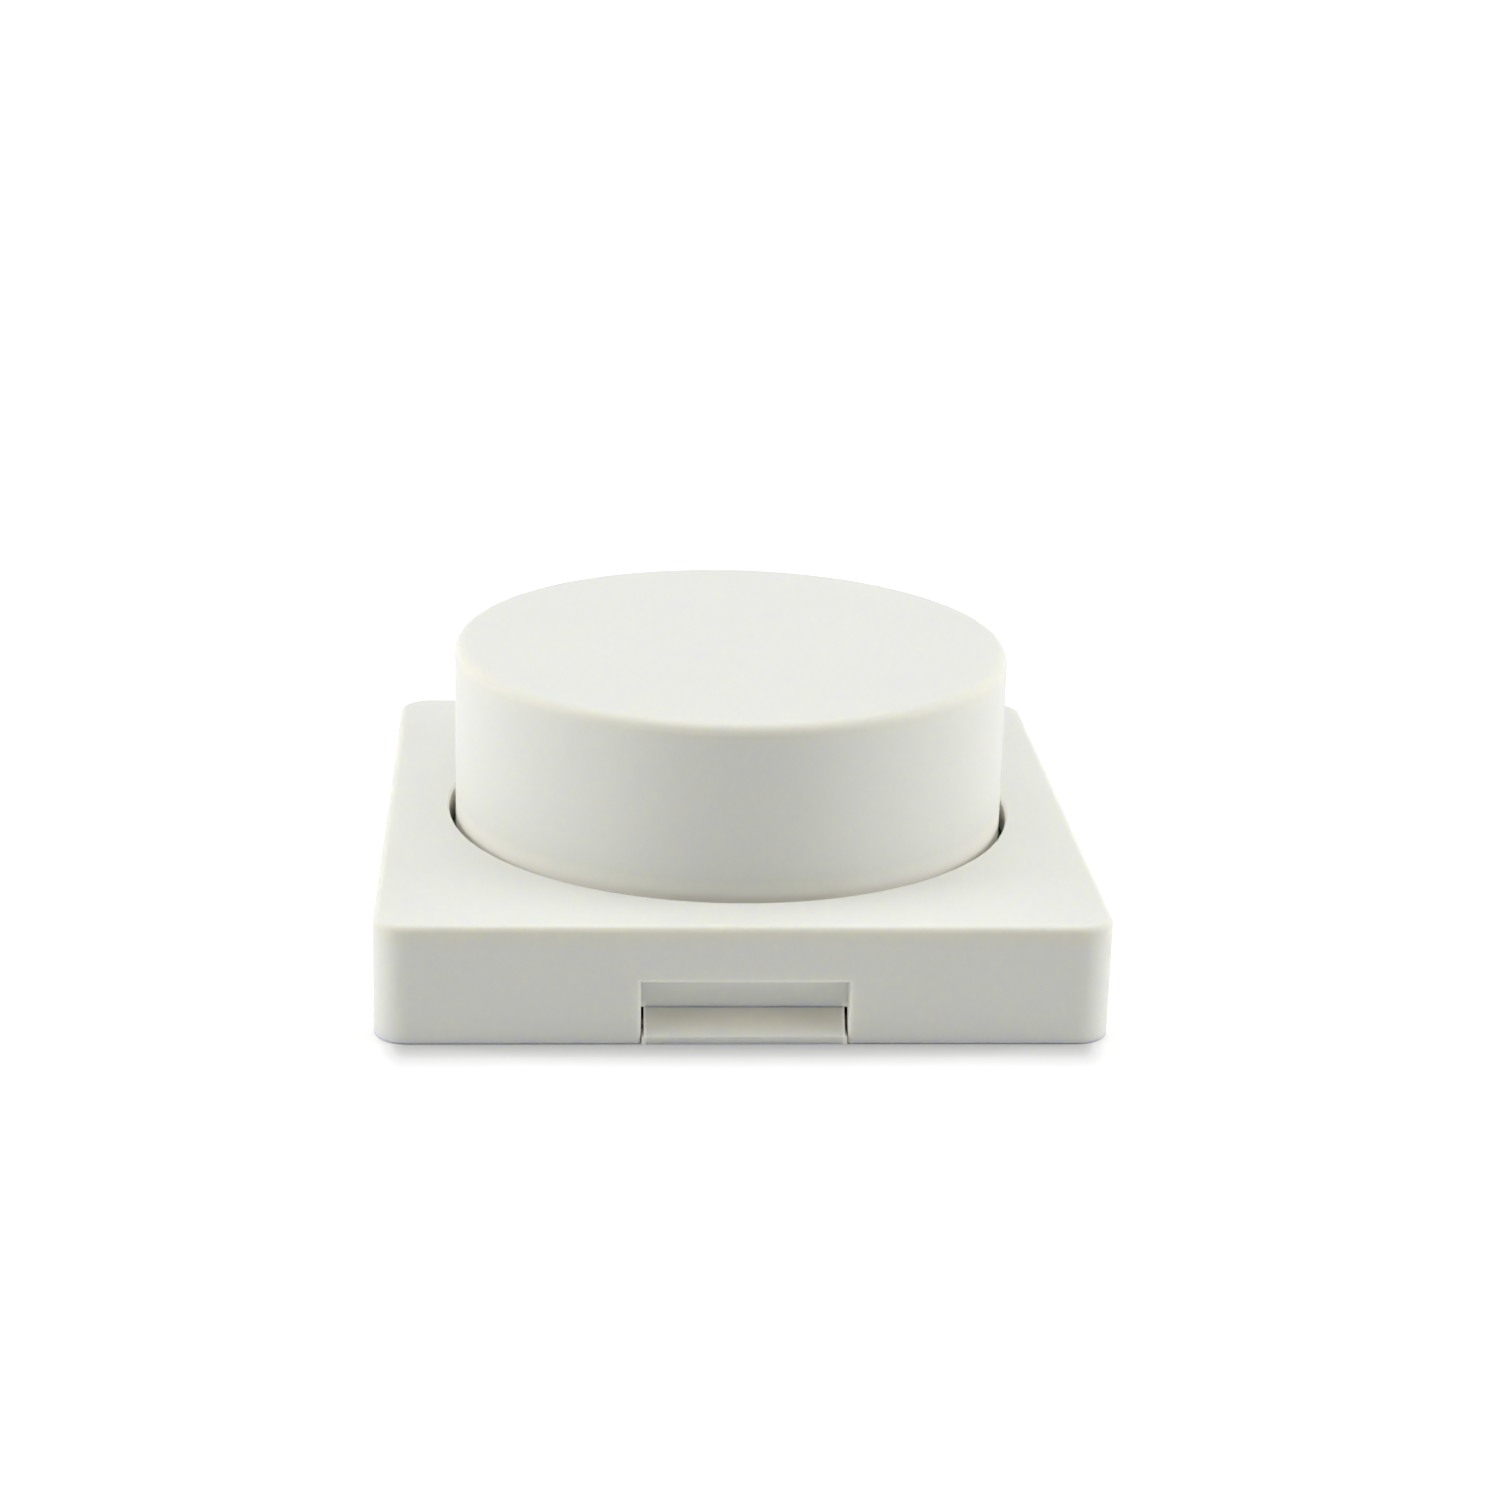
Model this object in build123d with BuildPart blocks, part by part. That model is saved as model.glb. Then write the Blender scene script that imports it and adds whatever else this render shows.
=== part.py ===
from build123d import *
import os
from math import hypot, sqrt

# Battery-powered rotary push-knob switch. Millimetres, +Z up, the front is -Y.
# The origin is the middle of the underside, so the back cover stands on z = 0.

# --- Overall sizes ---
base_width = 47.0
base_top = 8.0
corner_radius = 2.2
knob_diameter = 37.7
knob_top = 19.8
knob_gap = 0.45
press_travel = 0.5

# --- Housing ---
housing_wall = 1.6
housing_top_wall = 1.4
foot_gap = 0.05
cavity_corner_radius = 0.9
housing_edge_radius = 0.45
opening_edge_chamfer = 0.15
guide_ring_wall = 1.0
guide_ring_gap = 0.2
boss_radius = 2.0
boss_inset = 3.0
gusset_thickness = 1.0
gusset_turn = 45
gusset_overlap = 0.4

# --- Lever-off notch in the front wall, and the cover's tab that fills its lower half ---
notch_width = 13.2
notch_top = 4.15
notch_depth = 1.3
notch_back_wall = 1.0
notch_edge_radius = 0.3
tab_side_gap = 0.2
tab_foot_side_gap = 0.06
tab_front_height = 0.5
tab_ledge_height = 2.0
tab_ledge_depth = 0.05
tab_scoop = 0.1
tab_seam = 0.03
tab_root = 1.2

# --- Back cover ---
cover_thickness = 1.0
cover_clearance = 0.15
cover_edge_chamfer = 0.2
hook_thickness = 0.9
hook_width = 5.0
hook_offset = 11.0
hook_height = 2.4
barb_start = 0.9
barb_rise = 0.3
barb_reach = 0.45
window_depth = 0.6
window_clearance = 0.15
wall_screw_spacing = 34.0
wall_screw_hole_radius = 1.75
wall_screw_head_radius = 3.4
wall_screw_boss_height = 0.6
wall_screw_boss_wall = 0.8
cell_ring_height = 0.7
cell_ring_wall = 0.8
cell_ring_gap = 0.6

# --- Coin cell and its contacts ---
cell_diameter = 20.0
cell_height = 3.2
cell_edge_chamfer = 0.3
cell_cap_diameter = 17.2
cell_cap_step = 0.3
contact_sheet = 0.2
retainer_gap = 0.15
retainer_width = 9.0
retainer_side_gap = 0.12
retainer_foot = 1.8
stop_width = 4.0
tongue_length = 9.0
tongue_width = 3.0
tongue_slot = 0.6
contact_height = 0.35
contact_pad_radius = 4.0
contact_dimple_radius = 1.4
contact_slope = 1.2

# --- Main board and its screws ---
board_thickness = 0.8
board_clearance = 0.3
board_corner_radius = 0.8
board_hole_radius = 1.0
screw_radius = 0.8
screw_clearance = 0.03
screw_engagement = 1.6
screw_end_gap = 0.2
screw_head_radius = 1.5
screw_head_height = 0.8
screw_head_chamfer = 0.3
screw_slot_width = 0.35
screw_slot_depth = 0.4

# --- Encoder: case, tracks, rotor, detent spring, bushing and frame ---
case_width = 11.7
case_depth = 12.0
case_height = 4.4
case_floor = 0.5
case_chamfer = 0.6
ledge_height = 2.2
rotor_seat_radius = 4.85
rotor_clearance = 0.08
rotor_lift = 0.35
rotor_height = 1.35
rotor_foot_inner_radius = 3.3
rotor_foot_outer_radius = 3.6
detent_count = 24
detent_groove_width = 0.9
detent_groove_floor = 0.5
detent_groove_depth = 0.37
detent_sheet = 0.15
detent_play = 0.06
detent_nose_width = 0.7
detent_nose_floor = 0.2
detent_nose_shoulder = 0.74
detent_nose_span = 2.2
detent_lug_width = 1.6
detent_lug_reach = 0.6
detent_ring_gap = 0.15
detent_flange_gap = 0.25
track_thickness = 0.12
common_track_radius = 3.95
common_track_width = 0.25
comb_inner_radius = 4.3
comb_root_radius = 4.55
comb_outer_radius = 4.75
comb_teeth = 12
comb_tooth_width = 1.1
wiper_sheet = 0.1
wiper_count = 3
wiper_finger_back = 1.0
wiper_finger_front = 0.35
wiper_tip_lift = 0.15
flange_height = 0.6
bushing_radius = 3.5
bushing_height = 1.5
bushing_chamfer = 0.2
frame_sheet = 0.3
frame_leg_width = 5.0
frame_gap = 0.05
lead_sheet = 0.25
lead_width = 0.9
lead_pitch = 2.5
switch_lead_pitch = 5.0
lead_height = 0.9
lead_shoulder = 0.45
lead_reach = 1.2
lead_root = 0.5

# --- Shaft, plunger and snap dome ---
rest_gap = 0.05
shaft_radius = 3.0
shaft_clearance = 0.04
shaft_chamfer = 0.4
shaft_flat = 1.5
shaft_flange_radius = 3.5
shaft_flange_height = 0.3
shaft_tip_drop = 0.3
drive_radius = 1.9
drive_flat = 1.4
drive_clearance = 0.05
chamber_radius = 3.2
dome_radius = 2.7
dome_height = 0.65
dome_sheet = 0.08
switch_contact_sheet = 0.1
centre_contact_radius = 0.6
ring_contact_inner_radius = 2.2
ring_contact_outer_radius = 3.0
plunger_clearance = 0.3
plunger_flange = 0.4
plunger_stem_radius = 1.2
key_width = 1.0
key_reach = 0.5
key_clearance = 0.1

# --- Knob cap and the spring clip in its socket ---
knob_wall = 1.55
knob_top_wall = 1.5
knob_edge_radius = 0.8
knob_inner_chamfer = 0.6
skirt_edge_chamfer = 0.25
skirt_clearance = 0.3
socket_boss_radius = 4.6
socket_clearance = 0.03
socket_end_gap = 0.2
bushing_clearance = 0.2
knob_rib_count = 8
knob_rib_turn = 22.5
knob_rib_thickness = 0.9
knob_rib_height = 2.6
knob_ring_radius = 11.0
knob_ring_wall = 0.9
clip_slot_width = 3.4
clip_slot_depth = 1.1
clip_slot_end = 0.6
clip_sheet = 0.25
clip_play = 0.03
clip_side_play = 0.2
clip_end_play = 0.3

# --- Radio board and small soldered parts ---
radio_width = 10.0
radio_board_thickness = 0.6
radio_from_lead = 0.6
radio_skirt_gap = 1.1
castellation_radius = 0.25
castellation_pitch = 1.27
castellation_margin = 1.5
shield_inset = 0.9
shield_height = 1.7
shield_sheet = 0.2
shield_corner_radius = 0.5
radio_chip_width = 4.0
radio_chip_gap = 0.65
radio_chip_height = 0.8
capacitor_length = 3.5
capacitor_width = 2.8
capacitor_height = 1.9
capacitor_chamfer = 0.3
chip_length = 1.6
chip_width = 0.8
chip_height = 0.45
chip_column_pitch = 2.8
chip_row_pitch = 2.4
chip_rows = 4

# --- Places that follow from the sizes above ---
base_half = base_width / 2
cavity_half = base_half - housing_wall
cover_half = cavity_half - cover_clearance
board_half = cavity_half - board_clearance
boss_offset = cavity_half - boss_inset
ceiling = base_top - housing_top_wall
inside_top_wall = ceiling + housing_top_wall / 2
opening_radius = knob_diameter / 2 + knob_gap
notch_back = base_half - notch_depth
notch_wall_inside = notch_back - notch_back_wall
tab_half_width = notch_width / 2 - tab_side_gap

cell_radius = cell_diameter / 2
retainer_side = cell_radius + retainer_side_gap + contact_sheet / 2
cell_bottom = cover_thickness + retainer_gap + contact_sheet
cell_top = cell_bottom + cell_height
board_bottom = cell_top + contact_height
board_top = board_bottom + board_thickness
ring_bottom = board_top + guide_ring_gap

case_top = board_top + case_height
chamber_floor = board_top + case_floor
ledge = board_top + ledge_height
flange_top = case_top + flange_height
bushing_top = flange_top + bushing_height
rotor_bottom = ledge + rotor_lift
rotor_top = rotor_bottom + rotor_height
rotor_radius = rotor_seat_radius - rotor_clearance
detent_bottom = rotor_top + detent_ring_gap
detent_inner_radius = shaft_flange_radius + detent_flange_gap
detent_outer_radius = rotor_seat_radius - detent_ring_gap

shaft_flange_top = case_top - rest_gap
shaft_flange_bottom = shaft_flange_top - shaft_flange_height
rotor_hub_top = shaft_flange_bottom - press_travel - 2 * rest_gap
shaft_bottom = ledge - shaft_tip_drop
plunger_top = shaft_bottom - rest_gap
plunger_bottom = chamber_floor + dome_height + rest_gap
plunger_radius = chamber_radius - plunger_clearance
key_end = chamber_radius + key_reach

skirt_bottom = board_top + press_travel + skirt_clearance
knob_radius = knob_diameter / 2
knob_inside = knob_radius - knob_wall
knob_ceiling = knob_top - knob_top_wall
socket_bottom = bushing_top + press_travel + bushing_clearance
shaft_top = knob_ceiling - socket_end_gap

radio_front = case_depth / 2 + lead_reach + radio_from_lead
radio_back = sqrt((knob_inside - radio_skirt_gap) ** 2 - (radio_width / 2) ** 2)
radio_y = (radio_front + radio_back) / 2
radio_depth = radio_back - radio_front
radio_top = board_top + radio_board_thickness
castellation_count = 1 + int((radio_depth - 2 * castellation_margin) / castellation_pitch)
shield_width = radio_width - 2 * shield_inset
shield_depth = radio_depth - 2 * shield_inset
radio_chip_depth = shield_depth - 2 * (shield_sheet + radio_chip_gap)
frame_outside = case_width / 2 + frame_gap + frame_sheet
side_part_x = (frame_outside + knob_inside) / 2


def hook_places(distance):
    """Two places on the right, back and left sides, each with +X pointing outwards."""
    return [
        Location((0, 0, 0), (0, 0, turn)) * Location((distance, offset, 0))
        for turn in (0, 90, 180)
        for offset in (-hook_offset, hook_offset)
    ]


os.makedirs("parts", exist_ok=True)

# Housing: a square shell with the knob's opening, a guide ring under its rim, screw
# bosses with corner gussets, windows for the cover's hooks and the lever-off notch.
with BuildPart() as housing:
    with BuildSketch(Plane.XY.offset(foot_gap)):
        RectangleRounded(base_width, base_width, corner_radius)
    extrude(amount=base_top - foot_gap)
    fillet(housing.edges().group_by(Axis.Z)[-1], housing_edge_radius)
    with BuildSketch(Plane.XY.offset(foot_gap)):
        RectangleRounded(2 * cavity_half, 2 * cavity_half, cavity_corner_radius)
    extrude(amount=ceiling - foot_gap, mode=Mode.SUBTRACT)

    with BuildSketch(Plane.XY.offset(ring_bottom)):
        Circle(opening_radius + guide_ring_wall)
        gusset_length = (cavity_half + gusset_overlap) * sqrt(2) - opening_radius
        gusset_middle = opening_radius + gusset_length / 2
        with PolarLocations(gusset_middle, 4, start_angle=gusset_turn):
            Rectangle(gusset_length, gusset_thickness)
    extrude(amount=inside_top_wall - ring_bottom)
    with BuildSketch(Plane.XY.offset(board_top)):
        with GridLocations(2 * boss_offset, 2 * boss_offset, 2, 2):
            Circle(boss_radius)
    extrude(amount=inside_top_wall - board_top)
    with BuildSketch(Plane.XY.offset(board_top)):
        with GridLocations(2 * boss_offset, 2 * boss_offset, 2, 2):
            Circle(screw_radius + screw_clearance)
    extrude(amount=screw_engagement, mode=Mode.SUBTRACT)

    with BuildSketch(Plane.XY.offset(ring_bottom)):
        Circle(opening_radius)
    extrude(amount=base_top - ring_bottom, mode=Mode.SUBTRACT)
    rims = housing.edges().filter_by(GeomType.CIRCLE)
    rims = rims.filter_by(lambda rim: abs(rim.radius - opening_radius) < 0.001)
    chamfer(rims.group_by(Axis.Z)[-1], opening_edge_chamfer)

    with BuildSketch(Plane.XY.offset(barb_start + cover_thickness - window_clearance)):
        with Locations(*hook_places(cavity_half)):
            Rectangle(2 * window_depth, hook_width + 2 * window_clearance)
    extrude(amount=hook_height - barb_start + 2 * window_clearance, mode=Mode.SUBTRACT)

    with BuildSketch(Plane.XY.offset(tab_ledge_height + tab_seam)):
        with Locations((0, -(notch_wall_inside + notch_back) / 2)):
            Rectangle(notch_width + 2 * notch_back_wall, notch_back_wall)
    extrude(amount=inside_top_wall - tab_ledge_height - tab_seam)
    with BuildSketch(Plane.XY):
        with Locations((0, -base_half)):
            Rectangle(notch_width, 2 * notch_depth)
    extrude(amount=notch_top, mode=Mode.SUBTRACT)
    notch_edges = housing.edges().group_by(Axis.Y)[0]
    notch_edges = notch_edges.filter_by(lambda edge: abs(edge.center().X) < notch_width)
    notch_edges = notch_edges.filter_by(lambda edge: foot_gap < edge.center().Z <= notch_top)
    fillet(notch_edges, notch_edge_radius)
    with BuildSketch(Plane.XY):
        with Locations((0, -base_half)):
            Rectangle(notch_width, 2 * (base_half - notch_wall_inside))
    extrude(amount=tab_ledge_height + tab_seam, mode=Mode.SUBTRACT)
housing.part.label = "housing"
export_step(housing.part, "parts/housing.step")

# One snap hook of the cover: an upright leaf whose barb leans both ways, so that it
# snaps in and levers out. x = 0 is the cover's edge.
with BuildPart() as snap_hook:
    with BuildSketch(Plane.XZ):
        with BuildLine():
            Polyline(
                (-hook_thickness, cover_thickness / 2),
                (0, cover_thickness / 2),
                (0, cover_thickness + barb_start),
                (barb_reach, cover_thickness + barb_start + barb_rise),
                (barb_reach, cover_thickness + barb_start + 2 * barb_rise),
                (0, cover_thickness + hook_height),
                (-hook_thickness, cover_thickness + hook_height),
                close=True,
            )
        make_face()
    extrude(amount=hook_width / 2, both=True)

# Back cover: a plate inside the housing's walls, with a scooped tab in the notch, six
# snap hooks, two bossed holes for wall screws and a low ring round the cell.
with BuildPart() as back_cover:
    with BuildSketch():
        cover_corner_radius = cavity_corner_radius - cover_clearance
        RectangleRounded(2 * cover_half, 2 * cover_half, cover_corner_radius)
    extrude(amount=cover_thickness)
    chamfer(back_cover.edges().group_by(Axis.Z)[0], cover_edge_chamfer)
    with BuildSketch(Plane.YZ):
        with BuildLine():
            scoop_low = (-base_half, tab_front_height)
            scoop_high = (-notch_back - tab_ledge_depth, tab_ledge_height)
            SagittaArc(scoop_low, scoop_high, -tab_scoop)
            Polyline(
                scoop_high,
                (-notch_wall_inside, tab_ledge_height),
                (-notch_wall_inside, cover_thickness),
                (tab_root - notch_wall_inside, cover_thickness),
                (tab_root - notch_wall_inside, 0),
                (-base_half, 0),
                scoop_low,
            )
        make_face()
    extrude(amount=tab_half_width, both=True)
    with BuildSketch():
        with Locations((0, -(base_half + notch_wall_inside) / 2)):
            Rectangle(notch_width - 2 * tab_foot_side_gap, base_half - notch_wall_inside)
    extrude(amount=tab_front_height)
    with Locations(*hook_places(cover_half)):
        add(snap_hook.part)

    retainer_corner = hypot(retainer_side + contact_sheet / 2, retainer_width / 2)
    cell_ring_radius = retainer_corner + cell_ring_gap
    with BuildSketch(Plane.XY.offset(cover_thickness)):
        Circle(cell_ring_radius + cell_ring_wall)
        Circle(cell_ring_radius, mode=Mode.SUBTRACT)
    extrude(amount=cell_ring_height)
    with BuildSketch(Plane.XY.offset(cover_thickness)):
        with GridLocations(wall_screw_spacing, 0, 2, 1):
            Circle(wall_screw_head_radius + wall_screw_boss_wall)
            Circle(wall_screw_head_radius, mode=Mode.SUBTRACT)
    extrude(amount=wall_screw_boss_height)
    with BuildSketch():
        with GridLocations(wall_screw_spacing, 0, 2, 1):
            Circle(wall_screw_hole_radius)
    extrude(amount=cover_thickness, mode=Mode.SUBTRACT)
back_cover.part.label = "back_cover"
export_step(back_cover.part, "parts/back_cover.step")

# Coin cell, its wide positive can downwards and its stepped cap upwards.
with BuildPart() as coin_cell:
    with BuildSketch(Plane.XY.offset(cell_bottom)):
        Circle(cell_radius)
    extrude(amount=cell_height - cell_cap_step)
    chamfer(coin_cell.edges().group_by(Axis.Z)[0], cell_edge_chamfer)
    chamfer(coin_cell.edges().group_by(Axis.Z)[-1], cell_edge_chamfer)
    with BuildSketch(Plane.XY.offset(cell_top - cell_cap_step)):
        Circle(cell_cap_diameter / 2)
    extrude(amount=cell_cap_step)
    chamfer(coin_cell.edges().group_by(Axis.Z)[-1], cell_cap_step / 2)
coin_cell.part.label = "coin_cell"
export_step(coin_cell.part, "parts/coin_cell.step")

# Positive retainer: a sheet strap under the cell with soldered feet at both sides, a
# stop behind the cell, and a tongue cut out of the strap.
strap_middle = cell_bottom - contact_sheet / 2
foot_middle = board_bottom - contact_sheet / 2
with BuildPart() as battery_retainer:
    with BuildSketch(Plane.XZ):
        with BuildLine() as strap_path:
            Polyline(
                (-retainer_side - retainer_foot, foot_middle),
                (-retainer_side, foot_middle),
                (-retainer_side, strap_middle),
                (retainer_side, strap_middle),
                (retainer_side, foot_middle),
                (retainer_side + retainer_foot, foot_middle),
            )
        trace(strap_path.line, contact_sheet)
    extrude(amount=retainer_width / 2, both=True)
    with BuildSketch(Plane.YZ):
        with BuildLine() as stop_path:
            Polyline(
                (retainer_width / 4, strap_middle),
                (retainer_side, strap_middle),
                (retainer_side, foot_middle),
                (retainer_side + retainer_foot, foot_middle),
            )
        trace(stop_path.line, contact_sheet)
    extrude(amount=stop_width / 2, both=True)
    with BuildSketch(Plane.XY.offset(strap_middle - contact_sheet)):
        with GridLocations(0, tongue_width + tongue_slot, 1, 2):
            Rectangle(tongue_length, tongue_slot)
        with Locations((tongue_length / 2, 0)):
            Rectangle(tongue_slot, tongue_width + 2 * tongue_slot)
    extrude(amount=2 * contact_sheet, mode=Mode.SUBTRACT)
battery_retainer.part.label = "battery_retainer"
export_step(battery_retainer.part, "parts/battery_retainer.step")

# Negative contact: a round pad on the board's underside, dished down to the cell.
with BuildPart() as battery_contact:
    with BuildSketch(Plane.XZ):
        with BuildLine():
            dish_outer_radius = contact_dimple_radius + contact_slope
            Polyline(
                (0, cell_top),
                (contact_dimple_radius, cell_top),
                (dish_outer_radius, board_bottom - contact_sheet),
                (contact_pad_radius, board_bottom - contact_sheet),
                (contact_pad_radius, board_bottom),
                (dish_outer_radius, board_bottom),
                (contact_dimple_radius, cell_top + contact_sheet),
                (0, cell_top + contact_sheet),
                close=True,
            )
        make_face()
    revolve(axis=Axis.Z)
battery_contact.part.label = "battery_contact"
export_step(battery_contact.part, "parts/battery_contact.step")

# Main board, slotted at the front round the notch's back wall.
with BuildPart() as main_board:
    with BuildSketch(Plane.XY.offset(board_bottom)):
        RectangleRounded(2 * board_half, 2 * board_half, board_corner_radius)
        with Locations((0, -base_half)):
            slot_width = notch_width + 2 * (notch_back_wall + board_clearance)
            slot_end = notch_wall_inside - board_clearance
            Rectangle(slot_width, 2 * (base_half - slot_end), mode=Mode.SUBTRACT)
        with GridLocations(2 * boss_offset, 2 * boss_offset, 2, 2):
            Circle(board_hole_radius, mode=Mode.SUBTRACT)
    extrude(amount=board_thickness)
main_board.part.label = "main_board"
export_step(main_board.part, "parts/main_board.step")

# One pan-head board screw, head down, with a crossed recess.
with BuildPart() as board_screw:
    with BuildSketch(Plane.XY.offset(board_bottom - screw_head_height)):
        Circle(screw_head_radius)
    extrude(amount=screw_head_height)
    chamfer(board_screw.edges().group_by(Axis.Z)[0], screw_head_chamfer)
    with BuildSketch(Plane.XY.offset(board_bottom)):
        Circle(screw_radius)
    extrude(amount=board_thickness + screw_engagement - screw_end_gap)
    with BuildSketch(Plane.XY.offset(board_bottom - screw_head_height)):
        Rectangle(2 * screw_radius, screw_slot_width)
        Rectangle(screw_slot_width, 2 * screw_radius)
    extrude(amount=screw_slot_depth, mode=Mode.SUBTRACT)

with BuildPart() as board_screws:
    with GridLocations(2 * boss_offset, 2 * boss_offset, 2, 2):
        add(board_screw.part)
board_screws.part.label = "board_screws"
export_step(board_screws.part, "parts/board_screws.step")

# Encoder tracks, flush in the case's ledge: a common ring, and a comb that the rotor's
# wiper opens and closes.
with BuildPart() as encoder_contacts:
    with BuildSketch(Plane.XY.offset(ledge - track_thickness)):
        Circle(common_track_radius + common_track_width)
        Circle(common_track_radius, mode=Mode.SUBTRACT)
    extrude(amount=track_thickness)
    with BuildSketch(Plane.XY.offset(ledge - track_thickness)):
        Circle(comb_root_radius)
        Circle(comb_inner_radius, mode=Mode.SUBTRACT)
        with PolarLocations(comb_root_radius, comb_teeth):
            tooth_length = 4 * (comb_root_radius - comb_inner_radius)
            Rectangle(tooth_length, comb_tooth_width, mode=Mode.INTERSECT)
    extrude(amount=track_thickness)
    with BuildSketch(Plane.XY.offset(ledge - track_thickness)):
        Circle(comb_outer_radius)
        Circle(comb_root_radius, mode=Mode.SUBTRACT)
    extrude(amount=track_thickness)
encoder_contacts.part.label = "encoder_contacts"
export_step(encoder_contacts.part, "parts/encoder_contacts.step")

# Switch contacts in the chamber floor: a centre pad, and a ring under the dome's rim.
with BuildPart() as switch_contacts:
    with BuildSketch(Plane.XY.offset(chamber_floor - switch_contact_sheet)):
        Circle(ring_contact_outer_radius)
        Circle(ring_contact_inner_radius, mode=Mode.SUBTRACT)
        Circle(centre_contact_radius)
    extrude(amount=switch_contact_sheet)
switch_contacts.part.label = "switch_contacts"
export_step(switch_contacts.part, "parts/switch_contacts.step")

# One gull-wing lead, rooted in the case's front wall and soldered to the board.
with BuildPart() as lead:
    with BuildSketch(Plane.YZ):
        with BuildLine() as lead_path:
            shoulder = case_depth / 2 + lead_shoulder
            Polyline(
                (lead_root - case_depth / 2, board_top + lead_height),
                (-shoulder, board_top + lead_height),
                (-shoulder, board_top + lead_sheet / 2),
                (-case_depth / 2 - lead_reach, board_top + lead_sheet / 2),
            )
        trace(lead_path.line, lead_sheet)
    extrude(amount=lead_width / 2, both=True)

# Three encoder leads at the front and two switch leads at the back.
with BuildPart() as encoder_terminals:
    with GridLocations(lead_pitch, 0, 3, 1):
        add(lead.part)
    with GridLocations(switch_lead_pitch, 0, 2, 1):
        add(lead.part, rotation=(0, 0, 180))
encoder_terminals.part.label = "encoder_terminals"
export_step(encoder_terminals.part, "parts/encoder_terminals.step")

# Encoder case: a block with the rotor's seat above and the switch chamber below, key
# slots for the plunger, slots for the detent spring's lugs, and its metal moulded in.
with BuildPart() as encoder_case:
    with BuildSketch(Plane.XY.offset(board_top)) as case_outline:
        Rectangle(case_width, case_depth)
        chamfer(case_outline.vertices(), case_chamfer)
    extrude(amount=case_height)
    with BuildSketch(Plane.XY.offset(ledge)):
        Circle(rotor_seat_radius)
    extrude(amount=case_top - ledge, mode=Mode.SUBTRACT)
    with BuildSketch(Plane.XY.offset(chamber_floor)):
        Circle(chamber_radius)
        slot_half = key_end + key_clearance
        Rectangle(2 * slot_half, key_width + 2 * key_clearance)
    extrude(amount=ledge - chamber_floor, mode=Mode.SUBTRACT)
    with BuildSketch(Plane.XY.offset(detent_bottom)):
        lug_end = rotor_seat_radius + detent_lug_reach
        Rectangle(2 * lug_end, detent_lug_width)
    extrude(amount=case_top - detent_bottom, mode=Mode.SUBTRACT)
    add(encoder_contacts.part, mode=Mode.SUBTRACT)
    add(switch_contacts.part, mode=Mode.SUBTRACT)
    add(encoder_terminals.part, mode=Mode.SUBTRACT)
encoder_case.part.label = "encoder_case"
export_step(encoder_case.part, "parts/encoder_case.step")

# One detent groove with sloping sides, running outwards at the front of the rotor's rim.
with BuildPart() as detent_groove:
    with BuildSketch(Plane.XZ.offset(detent_inner_radius - detent_ring_gap)):
        with BuildLine():
            Polyline(
                (-detent_groove_width / 2, rotor_top),
                (-detent_groove_floor / 2, rotor_top - detent_groove_depth),
                (detent_groove_floor / 2, rotor_top - detent_groove_depth),
                (detent_groove_width / 2, rotor_top),
                close=True,
            )
        make_face()
    extrude(amount=rotor_radius - detent_inner_radius + 2 * detent_ring_gap)

# Rotor: a disc with detent grooves in its raised rim, a sunk hub for the shaft's
# flange, a foot on the ledge, and a bore with two drive flats.
with BuildPart() as encoder_rotor:
    with BuildSketch(Plane.XY.offset(rotor_bottom)):
        Circle(rotor_radius)
    extrude(amount=rotor_height)
    with BuildSketch(Plane.XY.offset(rotor_hub_top)):
        Circle(detent_inner_radius)
    extrude(amount=rotor_top - rotor_hub_top, mode=Mode.SUBTRACT)
    with BuildSketch(Plane.XY.offset(ledge + rest_gap)):
        Circle(rotor_foot_outer_radius)
        Circle(rotor_foot_inner_radius, mode=Mode.SUBTRACT)
    extrude(amount=rotor_lift)
    with PolarLocations(0, detent_count):
        add(detent_groove.part, mode=Mode.SUBTRACT)
    with BuildSketch(Plane.XY.offset(rotor_bottom)):
        Circle(drive_radius + drive_clearance)
        drive_width = 2 * (drive_flat + drive_clearance)
        Rectangle(4 * drive_radius, drive_width, mode=Mode.INTERSECT)
    extrude(amount=rotor_height, mode=Mode.SUBTRACT)
encoder_rotor.part.label = "encoder_rotor"
export_step(encoder_rotor.part, "parts/encoder_rotor.step")

# One pair of wiper fingers, bent down from the ring to just above the two tracks.
with BuildPart() as wiper_fingers:
    with BuildSketch(Plane.XZ.offset(common_track_radius)):
        with BuildLine() as finger_path:
            Polyline(
                (-wiper_finger_back, rotor_bottom - wiper_sheet / 2),
                (0, ledge + rest_gap + wiper_sheet / 2),
                (wiper_finger_front, ledge + wiper_tip_lift + wiper_sheet / 2),
            )
        trace(finger_path.line, wiper_sheet)
    extrude(amount=common_track_width)
    with BuildSketch(Plane.XZ.offset(comb_inner_radius)):
        trace(finger_path.line, wiper_sheet)
    extrude(amount=comb_root_radius - comb_inner_radius)

# Wiper: a sheet ring under the rotor with three pairs of fingers.
with BuildPart() as encoder_wiper:
    with BuildSketch(Plane.XY.offset(rotor_bottom - wiper_sheet)):
        Circle(detent_outer_radius)
        Circle(common_track_radius - wiper_sheet, mode=Mode.SUBTRACT)
    extrude(amount=wiper_sheet)
    with PolarLocations(0, wiper_count):
        add(wiper_fingers.part)
encoder_wiper.part.label = "encoder_wiper"
export_step(encoder_wiper.part, "parts/encoder_wiper.step")

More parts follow.
